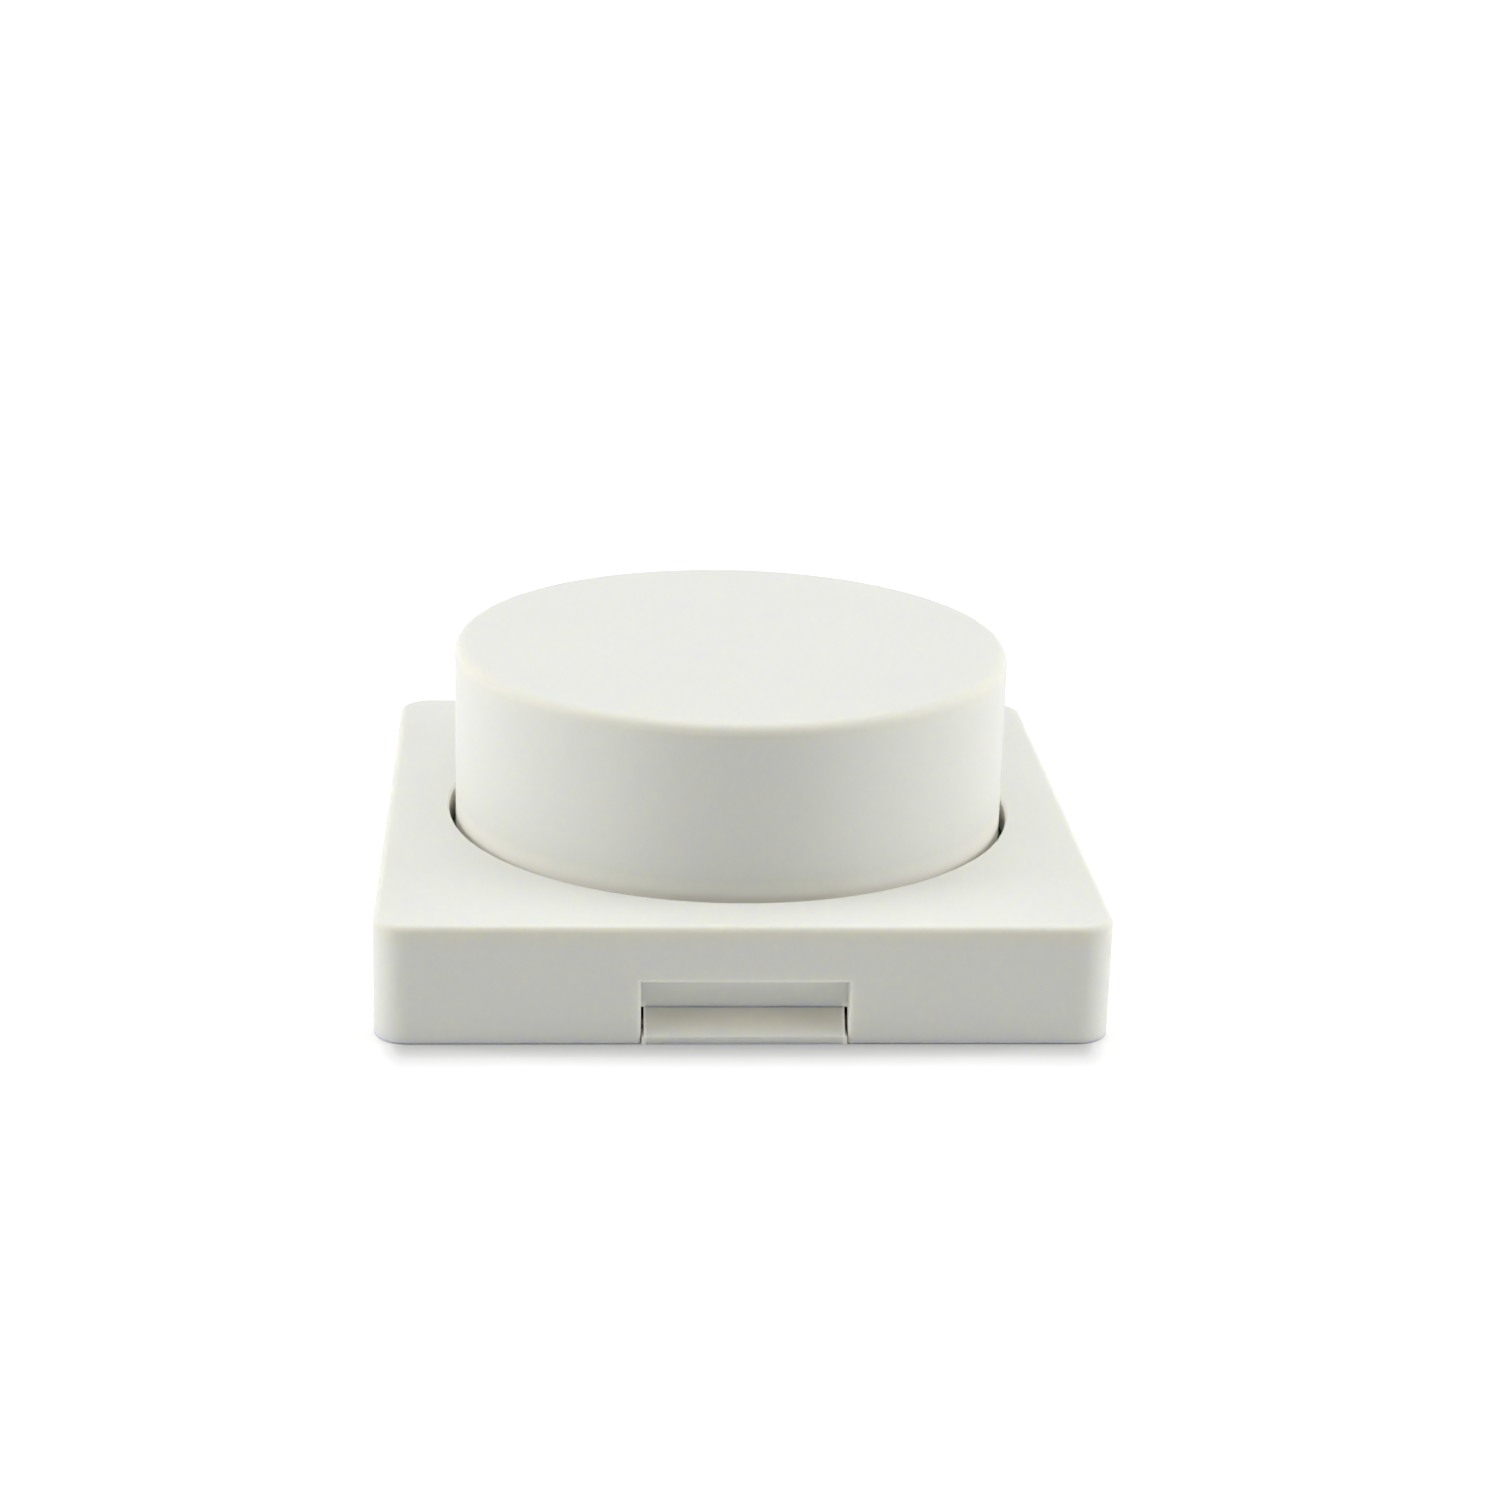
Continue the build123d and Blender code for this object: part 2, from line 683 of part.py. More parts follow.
# One sprung nose of the detent ring, seated in the front groove of the rotor.
with BuildPart() as detent_nose:
    with BuildSketch(Plane.XZ.offset(detent_inner_radius)):
        ring_middle = detent_bottom + detent_sheet / 2
        nose_middle = rotor_top - detent_groove_depth + detent_play + detent_sheet / 2
        with BuildLine() as nose_path:
            Polyline(
                (-detent_nose_span / 2 - detent_sheet, ring_middle),
                (-detent_nose_shoulder / 2, ring_middle),
                (-detent_nose_floor / 2, nose_middle),
                (detent_nose_floor / 2, nose_middle),
                (detent_nose_shoulder / 2, ring_middle),
                (detent_nose_span / 2 + detent_sheet, ring_middle),
            )
        trace(nose_path.line, detent_sheet)
    extrude(amount=detent_nose_width)

# Detent spring: a flat ring held by two lugs in the case, with two opposite noses.
with BuildPart() as detent_spring:
    with BuildSketch(Plane.XY.offset(detent_bottom)):
        Circle(detent_outer_radius)
        lug_length = 2 * (rotor_seat_radius + detent_lug_reach - rest_gap)
        Rectangle(lug_length, detent_lug_width - 2 * rest_gap)
        Circle(detent_inner_radius, mode=Mode.SUBTRACT)
        Rectangle(detent_nose_span, 2 * rotor_seat_radius, mode=Mode.SUBTRACT)
    extrude(amount=detent_sheet)
    with PolarLocations(0, 2):
        add(detent_nose.part)
detent_spring.part.label = "detent_spring"
export_step(detent_spring.part, "parts/detent_spring.step")

# Bushing: a cast flange over the case and the sleeve that the shaft turns in.
with BuildPart() as encoder_bushing:
    with BuildSketch(Plane.XY.offset(case_top)) as flange_outline:
        Rectangle(case_width, case_depth)
        chamfer(flange_outline.vertices(), case_chamfer)
    extrude(amount=flange_height)
    with BuildSketch(Plane.XY.offset(flange_top)):
        Circle(bushing_radius)
    extrude(amount=bushing_height)
    chamfer(encoder_bushing.edges().group_by(Axis.Z)[-1], bushing_chamfer)
    with BuildSketch(Plane.XY.offset(case_top)):
        Circle(shaft_radius + shaft_clearance)
    extrude(amount=flange_height + bushing_height, mode=Mode.SUBTRACT)
encoder_bushing.part.label = "encoder_bushing"
export_step(encoder_bushing.part, "parts/encoder_bushing.step")

# Frame: a sheet plate over the flange with one leg down each side to the board.
with BuildPart() as encoder_frame:
    with BuildSketch(Plane.XZ):
        leg_middle = case_width / 2 + frame_gap + frame_sheet / 2
        with BuildLine() as frame_path:
            Polyline(
                (-leg_middle, board_top),
                (-leg_middle, flange_top + frame_sheet / 2),
                (leg_middle, flange_top + frame_sheet / 2),
                (leg_middle, board_top),
            )
        trace(frame_path.line, frame_sheet)
    extrude(amount=frame_leg_width / 2, both=True)
    with BuildSketch(Plane.XY.offset(flange_top)):
        Rectangle(case_width, case_depth - 2 * case_chamfer)
    extrude(amount=frame_sheet)
    with BuildSketch(Plane.XY.offset(flange_top)):
        Circle(bushing_radius + frame_gap)
    extrude(amount=frame_sheet, mode=Mode.SUBTRACT)
encoder_frame.part.label = "encoder_frame"
export_step(encoder_frame.part, "parts/encoder_frame.step")

# Shaft: a tip with two drive flats in the rotor, a flange under the bushing, the round
# length in the bushing, and the D-flat for the knob.
with BuildPart() as encoder_shaft:
    with BuildSketch(Plane.XY.offset(shaft_bottom)):
        Circle(drive_radius)
        Rectangle(4 * drive_radius, 2 * drive_flat, mode=Mode.INTERSECT)
    extrude(amount=shaft_flange_bottom - shaft_bottom)
    with BuildSketch(Plane.XY.offset(shaft_flange_bottom)):
        Circle(shaft_flange_radius)
    extrude(amount=shaft_flange_height)
    with BuildSketch(Plane.XY.offset(shaft_flange_top)):
        Circle(shaft_radius)
    extrude(amount=shaft_top - shaft_flange_top)
    chamfer(encoder_shaft.edges().group_by(Axis.Z)[-1], shaft_chamfer)
    with BuildSketch(Plane.XY.offset(socket_bottom - bushing_clearance)):
        with Locations((0, -shaft_flat - shaft_radius)):
            Rectangle(2 * shaft_radius, 2 * shaft_radius)
    extrude(amount=shaft_top - socket_bottom + bushing_clearance, mode=Mode.SUBTRACT)
encoder_shaft.part.label = "encoder_shaft"
export_step(encoder_shaft.part, "parts/encoder_shaft.step")

# Switch plunger: a flange over the dome with two keys, and a stem under the shaft.
with BuildPart() as switch_plunger:
    with BuildSketch(Plane.XY.offset(plunger_bottom)):
        Circle(plunger_radius)
        Rectangle(2 * key_end, key_width)
    extrude(amount=plunger_flange)
    with BuildSketch(Plane.XY.offset(plunger_bottom)):
        Circle(plunger_stem_radius)
    extrude(amount=plunger_top - plunger_bottom)
switch_plunger.part.label = "switch_plunger"
export_step(switch_plunger.part, "parts/switch_plunger.step")

# Snap dome: a shallow spherical cap of spring sheet standing on the ring contact.
with BuildPart() as switch_dome:
    dome_sphere_radius = (dome_radius**2 + dome_height**2) / (2 * dome_height)
    with BuildSketch(Plane.XZ):
        with Locations((0, chamber_floor + dome_height - dome_sphere_radius)):
            Circle(dome_sphere_radius)
            Circle(dome_sphere_radius - dome_sheet, mode=Mode.SUBTRACT)
        with Locations((dome_radius / 2, chamber_floor + dome_height / 2)):
            Rectangle(dome_radius, dome_height, mode=Mode.INTERSECT)
    revolve(axis=Axis.Z)
switch_dome.part.label = "switch_dome"
export_step(switch_dome.part, "parts/switch_dome.step")

# Knob cap: a round shell with a D-socket boss, radial ribs and a stiffening ring.
with BuildPart() as knob_cap:
    with BuildSketch(Plane.XZ) as cap_profile:
        with BuildLine():
            Polyline(
                (0, knob_ceiling),
                (knob_inside, knob_ceiling),
                (knob_inside, skirt_bottom),
                (knob_radius, skirt_bottom),
                (knob_radius, knob_top),
                (0, knob_top),
                close=True,
            )
        make_face()
        corners = cap_profile.vertices()
        fillet(corners.sort_by_distance((knob_radius, knob_top))[0], knob_edge_radius)
        corners = cap_profile.vertices()
        chamfer(corners.sort_by_distance((knob_inside, knob_ceiling))[0], knob_inner_chamfer)
        corners = cap_profile.vertices()
        chamfer(corners.sort_by_distance((knob_radius, skirt_bottom))[0], skirt_edge_chamfer)
    revolve(axis=Axis.Z)
    with BuildSketch(Plane.XY.offset(knob_ceiling - knob_rib_height)):
        rib_length = knob_inside + knob_wall / 2
        Circle(knob_ring_radius)
        Circle(knob_ring_radius - knob_ring_wall, mode=Mode.SUBTRACT)
        with PolarLocations(rib_length / 2, knob_rib_count, start_angle=knob_rib_turn):
            Rectangle(rib_length, knob_rib_thickness)
    extrude(amount=knob_rib_height + knob_top_wall / 2)
    with BuildSketch(Plane.XY.offset(socket_bottom)):
        Circle(socket_boss_radius)
    extrude(amount=knob_ceiling + knob_top_wall / 2 - socket_bottom)
    with BuildSketch(Plane.XY.offset(socket_bottom)):
        Circle(shaft_radius + socket_clearance)
        with Locations((0, shaft_radius - shaft_flat - socket_clearance)):
            Rectangle(3 * shaft_radius, 2 * shaft_radius, mode=Mode.INTERSECT)
    extrude(amount=knob_ceiling - socket_bottom, mode=Mode.SUBTRACT)
    with BuildSketch(Plane.XY.offset(socket_bottom)):
        with Locations((0, -shaft_flat - socket_clearance - clip_slot_depth / 2)):
            Rectangle(clip_slot_width, clip_slot_depth)
    extrude(amount=knob_ceiling - clip_slot_end - socket_bottom, mode=Mode.SUBTRACT)
knob_cap.part.label = "knob_cap"
export_step(knob_cap.part, "parts/knob_cap.step")

# Spring clip: a bowed leaf between the socket's slot and the shaft's flat.
with BuildPart() as knob_spring_clip:
    with BuildSketch(Plane.YZ):
        clip_near = -shaft_flat - clip_play - clip_sheet / 2
        clip_far = -shaft_flat - clip_slot_depth + clip_play + clip_sheet / 2
        clip_low = socket_bottom + clip_end_play
        clip_high = knob_ceiling - clip_slot_end - clip_end_play
        with BuildLine() as clip_path:
            ThreePointArc(
                (clip_far, clip_low),
                (clip_near, (clip_low + clip_high) / 2),
                (clip_far, clip_high),
            )
        trace(clip_path.line, clip_sheet)
    extrude(amount=clip_slot_width / 2 - clip_side_play, both=True)
knob_spring_clip.part.label = "knob_spring_clip"
export_step(knob_spring_clip.part, "parts/knob_spring_clip.step")

# Radio board with castellated solder edges, behind the encoder.
with BuildPart() as radio_board:
    with BuildSketch(Plane.XY.offset(board_top)):
        with Locations((0, radio_y)):
            Rectangle(radio_width, radio_depth)
            with GridLocations(radio_width, castellation_pitch, 2, castellation_count):
                Circle(castellation_radius, mode=Mode.SUBTRACT)
    extrude(amount=radio_board_thickness)
radio_board.part.label = "radio_board"
export_step(radio_board.part, "parts/radio_board.step")

with BuildPart() as radio_chip:
    with BuildSketch(Plane.XY.offset(radio_top)):
        with Locations((0, radio_y)):
            Rectangle(radio_chip_width, radio_chip_depth)
    extrude(amount=radio_chip_height)
radio_chip.part.label = "radio_chip"
export_step(radio_chip.part, "parts/radio_chip.step")

# Shield: a drawn can, open below, over the chip.
with BuildPart() as radio_shield:
    with BuildSketch(Plane.XY.offset(radio_top)):
        with Locations((0, radio_y)):
            RectangleRounded(shield_width, shield_depth, shield_corner_radius)
    extrude(amount=shield_height)
    open_face = radio_shield.faces().sort_by(Axis.Z)[0]
    offset(amount=-shield_sheet, openings=open_face)
radio_shield.part.label = "radio_shield"
export_step(radio_shield.part, "parts/radio_shield.step")

with BuildPart() as buffer_capacitor:
    with BuildSketch(Plane.XY.offset(board_top)):
        with Locations((-side_part_x, 0)):
            Rectangle(capacitor_width, capacitor_length)
    extrude(amount=capacitor_height)
    chamfer(buffer_capacitor.edges().group_by(Axis.Z)[-1], capacitor_chamfer)
buffer_capacitor.part.label = "buffer_capacitor"
export_step(buffer_capacitor.part, "parts/buffer_capacitor.step")

with BuildPart() as chip_components:
    with BuildSketch(Plane.XY.offset(board_top)):
        with Locations((side_part_x, 0)):
            with GridLocations(chip_column_pitch, chip_row_pitch, 2, chip_rows):
                Rectangle(chip_length, chip_width)
    extrude(amount=chip_height)
chip_components.part.label = "chip_components"
export_step(chip_components.part, "parts/chip_components.step")
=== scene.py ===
import math

import bpy
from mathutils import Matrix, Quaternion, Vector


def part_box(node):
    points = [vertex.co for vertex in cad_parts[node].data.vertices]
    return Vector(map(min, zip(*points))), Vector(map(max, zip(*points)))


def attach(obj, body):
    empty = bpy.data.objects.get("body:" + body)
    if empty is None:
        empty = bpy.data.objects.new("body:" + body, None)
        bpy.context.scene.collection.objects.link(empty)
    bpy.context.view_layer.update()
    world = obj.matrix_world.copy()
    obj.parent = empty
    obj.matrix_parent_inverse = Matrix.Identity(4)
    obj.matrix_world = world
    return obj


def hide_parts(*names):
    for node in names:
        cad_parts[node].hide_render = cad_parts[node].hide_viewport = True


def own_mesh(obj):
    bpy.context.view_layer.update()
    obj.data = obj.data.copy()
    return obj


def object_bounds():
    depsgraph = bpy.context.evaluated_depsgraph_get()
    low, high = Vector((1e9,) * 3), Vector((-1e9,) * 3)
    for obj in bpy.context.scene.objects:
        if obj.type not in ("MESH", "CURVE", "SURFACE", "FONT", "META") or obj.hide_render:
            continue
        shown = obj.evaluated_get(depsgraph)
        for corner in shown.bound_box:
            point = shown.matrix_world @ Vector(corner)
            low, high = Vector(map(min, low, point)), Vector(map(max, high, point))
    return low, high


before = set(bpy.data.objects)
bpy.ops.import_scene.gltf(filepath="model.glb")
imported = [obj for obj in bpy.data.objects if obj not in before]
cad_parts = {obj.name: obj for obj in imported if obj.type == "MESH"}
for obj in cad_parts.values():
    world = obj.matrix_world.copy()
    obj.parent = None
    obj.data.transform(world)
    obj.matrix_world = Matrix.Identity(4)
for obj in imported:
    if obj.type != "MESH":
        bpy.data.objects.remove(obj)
cad_low, cad_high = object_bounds()

# Lengths are in metres. The switch stands on z = 0, its knob's axis is the Z axis, and
# the wall with the lever-off notch faces -Y.
MM = 0.001

# Camera: in front and a little to the left of the knob's axis, looking down and slightly
# to the right, and held slightly crooked.
CAMERA_SIDE = -13.06 * MM
CAMERA_DISTANCE = 211.03 * MM
CAMERA_HEIGHT = 82.18 * MM
CAMERA_PITCH = math.radians(18.391)
CAMERA_YAW = math.radians(3.936)
CAMERA_ROLL = math.radians(1.543)
CAMERA_LENS = 77.26
CAMERA_SENSOR = 36.0
CAMERA_CLIP = 10 * MM

FLOOR_SIZE = 6.0
FLOOR_DROP = 0.01 * MM
# White paper: what the light meets, what is seen, and what is seen in the contact line, where
# sight rays see a painted shadow that fades out over FOOT_SHADE.
FLOOR_BOUNCE = 0.93
FLOOR_SEEN = 0.85
FLOOR_SEEN_IN_PAINTED_SHADOW = 0.62
FOOT_SHADE = 2.2 * MM
# The glow that sight rays see on the floor: none in the contact shadow, white far away.
# Round the corners the shadow fades, because sideways distances count more than once.
FLOOR_CORNER = 2.2 * MM
SIDE_NARROWING = 3.6
SHADOW_START = 1.7 * MM
SHADOW_END = 5.4 * MM
NEAR_GLOW = 0.27
FAR_DISTANCE = 400 * MM
FAR_GLOW = 0.75

SOFTBOX_SIZE = 0.6
SOFTBOX_HEIGHT = 0.6
SOFTBOX_POWER = 2.60
SIDE_SIZE = 0.36
SIDE_DISTANCE = 0.6
SIDE_AZIMUTH = math.radians(87)
SIDE_ELEVATION = math.radians(22)
SIDE_POWER = 2.12

# A wave texture's bands repeat 20 / (2 pi) times in a unit of its vector.
BANDS_PER_UNIT = 20 / (2 * math.pi)
# Most of a noise lies between these values, and most of the mean of two nearer its middle.
NOISE_START = 0.3
NOISE_END = 0.7
MEAN_START = 0.38
MEAN_END = 0.62
# How far a roughness goes to each side of its middle.
ROUGH_SPREAD = 0.06
# How gradually a stripe, a tinned end or a gasket begins.
SOFT_EDGE = 0.03 * MM


# --- Material helpers ---
def add_math(tree, operation, first, second=0.0):
    """One math node. Each operand is a socket or a number."""
    node = tree.nodes.new("ShaderNodeMath")
    node.operation = operation
    for operand, socket in zip((first, second), node.inputs):
        if isinstance(operand, (int, float)):
            socket.default_value = operand
        else:
            tree.links.new(operand, socket)
    return node.outputs[0]


def ramp(tree, value, start, end, high, low=0.0):
    """low at start, rising straight to high at end, and flat beyond both."""
    node = tree.nodes.new("ShaderNodeMapRange")
    tree.links.new(value, node.inputs["Value"])
    node.inputs["From Min"].default_value = start
    node.inputs["From Max"].default_value = end
    node.inputs["To Min"].default_value = low
    node.inputs["To Max"].default_value = high
    return node.outputs["Result"]


def add_mix(tree, factor, first, second):
    """Mixes two colours. Each is a socket or three numbers."""
    node = tree.nodes.new("ShaderNodeMix")
    node.data_type = "RGBA"
    tree.links.new(factor, node.inputs["Factor"])
    for colour, name in ((first, "A"), (second, "B")):
        socket = next(s for s in node.inputs if s.name == name and s.type == "RGBA")
        if isinstance(colour, tuple):
            socket.default_value = (*colour, 1.0)
        else:
            tree.links.new(colour, socket)
    return next(s for s in node.outputs if s.type == "RGBA")


class Nodes:
    """A material's node tree, with one short method for each kind of node it needs."""

    def __init__(self, name):
        self.material = bpy.data.materials.new(name)
        self.material.use_nodes = True
        self.tree = self.material.node_tree
        self.shader = self.tree.nodes["Principled BSDF"]
        self.place = self.tree.nodes.new("ShaderNodeTexCoord").outputs["Object"]
        self.normal = None

    def link(self, source, target):
        """Links one socket to another."""
        self.tree.links.new(source, target)

    def constant(self, **values):
        """Sets the shader's own sockets, named with _ for a space."""
        for name, value in values.items():
            self.shader.inputs[name.replace("_", " ")].default_value = value

    def math(self, operation, first, second=0.0):
        """One math node. Each operand is a socket or a number."""
        return add_math(self.tree, operation, first, second)

    def mean(self, first, second):
        """The mean of two sockets."""
        return self.math("MULTIPLY", self.math("ADD", first, second), 0.5)

    def axes(self):
        """The X, Y and Z of object coordinates."""
        node = self.tree.nodes.new("ShaderNodeSeparateXYZ")
        self.link(self.place, node.inputs[0])
        return node.outputs

    def vector(self, x, y, z):
        """A vector of three sockets or numbers."""
        node = self.tree.nodes.new("ShaderNodeCombineXYZ")
        for part, socket in zip((x, y, z), node.inputs):
            if isinstance(part, (int, float)):
                socket.default_value = part
            else:
                self.link(part, socket)
        return node.outputs[0]

    def radius(self):
        """Distance from the knob's axis."""
        axes = self.axes()
        squares = [self.math("MULTIPLY", axes[axis], axes[axis]) for axis in "XY"]
        return self.math("SQRT", self.math("ADD", *squares))

    def turned(self):
        """A vector that changes only along the radius and the height, as tool marks do."""
        return self.vector(self.radius(), 0.0, self.axes()["Z"])

    def stretched(self, scale):
        """Object coordinates, multiplied by one number for each axis."""
        node = self.tree.nodes.new("ShaderNodeVectorMath")
        node.operation = "MULTIPLY"
        self.link(self.place, node.inputs[0])
        node.inputs[1].default_value = scale
        return node.outputs["Vector"]

    def noise(self, size, detail=2.0, vector=None):
        """Noise between about 0 and 1 whose patches are about size metres across."""
        node = self.tree.nodes.new("ShaderNodeTexNoise")
        self.link(vector or self.place, node.inputs["Vector"])
        node.inputs["Scale"].default_value = 1 / size
        node.inputs["Detail"].default_value = detail
        return node.outputs["Fac"]

    def voronoi(self, size, dimensions="3D", metric="EUCLIDEAN"):
        """Cells that are about size metres across."""
        node = self.tree.nodes.new("ShaderNodeTexVoronoi")
        node.voronoi_dimensions = dimensions
        node.distance = metric
        self.link(self.place, node.inputs["Vector"])
        node.inputs["Scale"].default_value = 1 / size
        return node.outputs

    def cells(self, size):
        """Distance to the middle of the nearest cell, in cell sizes."""
        return self.voronoi(size)["Distance"]

    def dots(self, size):
        """Distance to the nearest upright line of a scatter of them, in cell sizes."""
        return self.voronoi(size, "2D")["Distance"]

    def patches(self, size):
        """Two random numbers for each patch of a plan of straight-edged ones."""
        node = self.tree.nodes.new("ShaderNodeSeparateColor")
        self.link(self.voronoi(size, "2D", "CHEBYCHEV")["Color"], node.inputs[0])
        return node.outputs["Red"], node.outputs["Green"]

    def bands(self, period, direction):
        """Soft bands, 0 to 1, that repeat along X, Y or Z."""
        node = self.tree.nodes.new("ShaderNodeTexWave")
        node.bands_direction = direction
        self.link(self.place, node.inputs["Vector"])
        node.inputs["Scale"].default_value = 1 / (BANDS_PER_UNIT * period)
        return node.outputs["Fac"]

    def remap(self, value, low, high, start=NOISE_START, end=NOISE_END):
        """Turns start..end of a value into low..high."""
        return ramp(self.tree, value, start, end, high, low)

    def rise(self, value, start, end):
        """0 where a value is below start, and 1 where it is above end."""
        return self.remap(value, 0.0, 1.0, start, end)

    def fall(self, value, start, end):
        """1 where a value is below start, and 0 where it is above end."""
        return self.remap(value, 1.0, 0.0, start, end)

    def band(self, value, start, full, fade, end):
        """1 where a value is between full and fade, falling to 0 at start and at end."""
        rise = self.rise(value, start, full)
        return self.math("MULTIPLY", rise, self.fall(value, fade, end))

    def mix(self, factor, first, second):
        """Mixes two colours. Each is a socket or three numbers."""
        return add_mix(self.tree, factor, first, second)

    def tint(self, value, dark, light, start=NOISE_START, end=NOISE_END):
        """A colour between two, chosen by a value."""
        return self.mix(self.rise(value, start, end), dark, light)

    def colour(self, socket):
        """Links a socket to the shader's colour."""
        self.link(socket, self.shader.inputs["Base Color"])

    def rough(self, value, low, high, start=NOISE_START, end=NOISE_END):
        """Turns start..end of a value into a roughness of low..high."""
        result = self.remap(value, low, high, start, end)
        self.link(result, self.shader.inputs["Roughness"])

    def bump(self, height, depth):
        """Bumps the shader's normal by height times depth metres, over earlier bumps."""
        node = self.tree.nodes.new("ShaderNodeBump")
        self.link(height, node.inputs["Height"])
        node.inputs["Distance"].default_value = depth
        node.inputs["Strength"].default_value = 1.0
        if self.normal:
            self.link(self.normal, node.inputs["Normal"])
        self.normal = node.outputs["Normal"]
        self.link(self.normal, self.shader.inputs["Normal"])


def scaled(colour, factor):
    """A colour with each channel multiplied by one number."""
    return tuple(channel * factor for channel in colour)


# --- Plastics ---
def moulded_shell(name, colour, warm_tint_and_polish_bands):
    """Off-white moulding: a fine eroded texture and slow colour drift. In bands of height at
    rims, at the knob's foot and in the tab's scoop it has a little polish and a painted warm
    tint, which stands in for the warm light that the cream plastic passes on there."""
    nodes = Nodes(name)
    base = nodes.tint(nodes.noise(14 * MM, detail=3.0), scaled(colour, 0.985), colour)
    patches = nodes.remap(nodes.noise(1.6 * MM, detail=4.0), low=0.45, high=0.51)
    broken = nodes.remap(nodes.noise(3 * MM, detail=4.0), low=0.7, high=1.0)
    height = nodes.axes()["Z"]
    painted_warmth_and_polish = 0.0
    for strength, *limits in warm_tint_and_polish_bands:
        band = nodes.math("MULTIPLY", nodes.band(height, *limits), strength)
        painted_warmth_and_polish = nodes.math("ADD", band, painted_warmth_and_polish)
    painted_warmth_and_polish = nodes.math("MULTIPLY", painted_warmth_and_polish, broken)
    # Painted warm tint: the bands take a warmer copy of the colour, standing in for the warm
    # light that the cream plastic passes on at rims and in hollows.
    painted_warm_tint = tuple(channel * part for channel, part in zip(colour, SHELL_PAINTED_WARMTH))
    gap = in_gap(nodes)
    # Painted light: the gap walls take a paler, warmer colour than the moulding.
    nodes.colour(nodes.mix(gap, nodes.mix(painted_warmth_and_polish, base, painted_warm_tint), GAP_PAINTED_LIGHT_COLOUR))
    polish = nodes.math("MULTIPLY", painted_warmth_and_polish, SHELL_POLISH)
    nodes.link(nodes.math("SUBTRACT", patches, polish), nodes.shader.inputs["Roughness"])
    nodes.bump(nodes.noise(0.14 * MM), depth=0.0015 * MM)
    nodes.bump(nodes.cells(0.09 * MM), depth=0.0006 * MM)
    glow = nodes.math("SUBTRACT", 1.0, gap)
    nodes.link(glow, nodes.shader.inputs["Subsurface Weight"])
    nodes.constant(
        IOR=1.5,
        Subsurface_Radius=SHELL_GLOW_RADIUS,
        Subsurface_Scale=SHELL_GLOW_DEPTH,
    )
    return nodes


def in_gap(nodes):
    """1 on the walls of the gaps round the knob and beside the tab, where a paler colour is
    painted as light in the gaps, and 0 elsewhere. It fades up the knob's foot."""
    side, depth, height = nodes.axes()
    sunk = nodes.fall(height, housing_top, housing_top + FOOT_FADE)
    inside = nodes.fall(nodes.radius(), opening_radius, opening_radius + GAP_FADE)
    round_knob = nodes.math("MULTIPLY", sunk, inside)
    walls = (
        TAB_HALF_WIDTH - 2 * GAP_FADE,
        TAB_HALF_WIDTH - GAP_FADE,
        NOTCH_HALF_WIDTH + GAP_FADE / 2,
        NOTCH_HALF_WIDTH + GAP_FADE,
    )
    beside = nodes.band(nodes.math("ABSOLUTE", side), *walls)
    low = nodes.fall(height, TAB_GAP_TOP, TAB_GAP_TOP + TAB_GAP_FADE)
    notch_back = cad_low.y + NOTCH_DEPTH
    front = nodes.fall(depth, notch_back, notch_back + NOTCH_BACK_FADE)
    beside_tab = nodes.math("MULTIPLY", nodes.math("MULTIPLY", beside, low), front)
    return nodes.math("MAXIMUM", round_knob, beside_tab)


def filled_plastic(name, colour, speck, roughness, speck_size=0.09 * MM):
    """Glass- or mineral-filled moulding: pale specks and short fibres near the skin."""
    nodes = Nodes(name)
    fibres = nodes.noise(0.12 * MM, detail=1.0, vector=nodes.stretched((1, 6, 6)))
    specks = nodes.math(
        "MULTIPLY",
        nodes.fall(nodes.cells(speck_size), start=0.12, end=0.3),
        nodes.rise(fibres, start=0.45, end=0.62),
    )
    base = nodes.tint(nodes.noise(2 * MM, detail=3.0), scaled(colour, 0.8), colour)
    nodes.colour(nodes.mix(specks, base, speck))
    cloud = nodes.noise(0.6 * MM, detail=4.0)
    nodes.rough(cloud, low=roughness - ROUGH_SPREAD, high=roughness + ROUGH_SPREAD)
    nodes.bump(nodes.noise(0.1 * MM), depth=0.002 * MM)
    return nodes


def natural_acetal(name, colour):
    """Waxy, half-clear moulding with flow rings round its gate at the hub."""
    nodes = Nodes(name)
    rings = nodes.noise(0.35 * MM, vector=nodes.turned())
    cloud = nodes.noise(1.8 * MM, detail=3.0)
    mixed = nodes.mean(rings, cloud)
    nodes.colour(nodes.tint(mixed, scaled(colour, 0.9), colour, MEAN_START, MEAN_END))
    nodes.rough(cloud, low=0.26, high=0.38)
    nodes.bump(rings, depth=0.001 * MM)
    nodes.constant(
        Subsurface_Weight=0.6,
        Subsurface_Radius=(1.0, 0.8, 0.5),
        Subsurface_Scale=0.5 * MM,
    )
    return nodes


def coloured_plastic(name, colour):
    """Glossy coloured moulding with pale stress lines along its flow."""
    nodes = Nodes(name)
    flow = nodes.noise(0.8 * MM, detail=3.0, vector=nodes.stretched((1, 1, 4)))
    nodes.colour(nodes.tint(flow, scaled(colour, 0.8), scaled(colour, 1.08)))
    nodes.rough(nodes.noise(0.5 * MM, detail=4.0), low=0.3, high=0.42)
    nodes.bump(nodes.noise(0.12 * MM), depth=0.001 * MM)
    nodes.constant(
        Subsurface_Weight=0.25,
        Subsurface_Radius=(1.0, 0.25, 0.15),
        Subsurface_Scale=0.3 * MM,
    )
    return nodes


